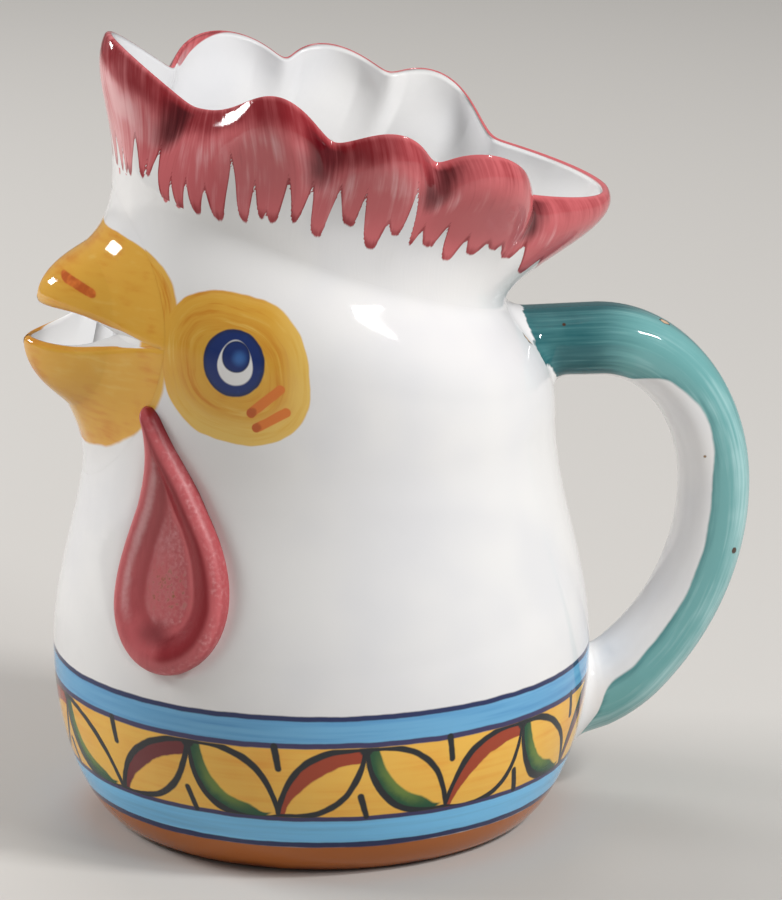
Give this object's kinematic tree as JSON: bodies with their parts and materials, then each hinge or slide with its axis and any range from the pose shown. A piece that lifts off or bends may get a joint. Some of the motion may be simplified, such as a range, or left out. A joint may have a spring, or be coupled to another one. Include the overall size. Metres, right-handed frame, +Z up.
{
  "type": "pitcher",
  "caption": "Glazed earthenware jug shaped as a hen, with a scalloped comb as its rim, an open beak as its spout, raised wattles and a strap handle",
  "frame": {"origin": "centre of the standing ring, on the table", "axes": "+Z up, the beak points to -X and the handle to +X, and the hen's left side faces -Y"},
  "size_m": [0.1962, 0.1452, 0.214],
  "materials": {
    "white_glaze": "gloss",
    "crimson_glaze": "gloss",
    "yellow_glaze": "gloss",
    "teal_glaze": "gloss"
  },
  "bodies": {
    "root": {"base": "white_glaze", "belly": "white_glaze", "head": "white_glaze", "comb": "crimson_glaze", "upper_beak": "yellow_glaze", "lower_beak": "yellow_glaze", "left_wattle": "crimson_glaze", "right_wattle": "crimson_glaze", "handle": "teal_glaze"}
  },
  "joints": []
}
